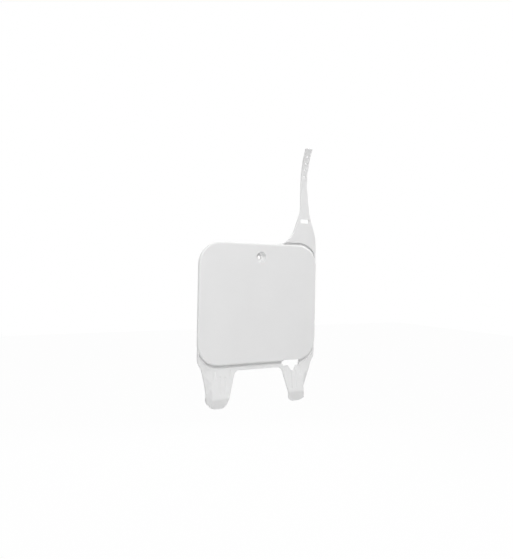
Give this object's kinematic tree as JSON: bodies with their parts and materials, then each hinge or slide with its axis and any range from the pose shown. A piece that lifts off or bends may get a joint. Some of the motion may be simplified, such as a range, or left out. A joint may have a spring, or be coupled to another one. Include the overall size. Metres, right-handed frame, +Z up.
{
  "type": "racing number board",
  "caption": "Flat rounded number panel moulded in one piece with a strap arm at the top right, an apron and two fork legs below, and a dished screw hole.",
  "frame": {"origin": "middle of the screw's seat, at the bottom of the dish in the panel", "axes": "+Z up along the board's height, the panel faces -Y, +X towards the arm with the strap"},
  "size_m": [0.24, 0.0242, 0.4674],
  "materials": {
    "white_polypropylene": "moulded polypropylene, satin, undyed white"
  },
  "bodies": {
    "root": {"number_board": "white_polypropylene"}
  },
  "joints": []
}
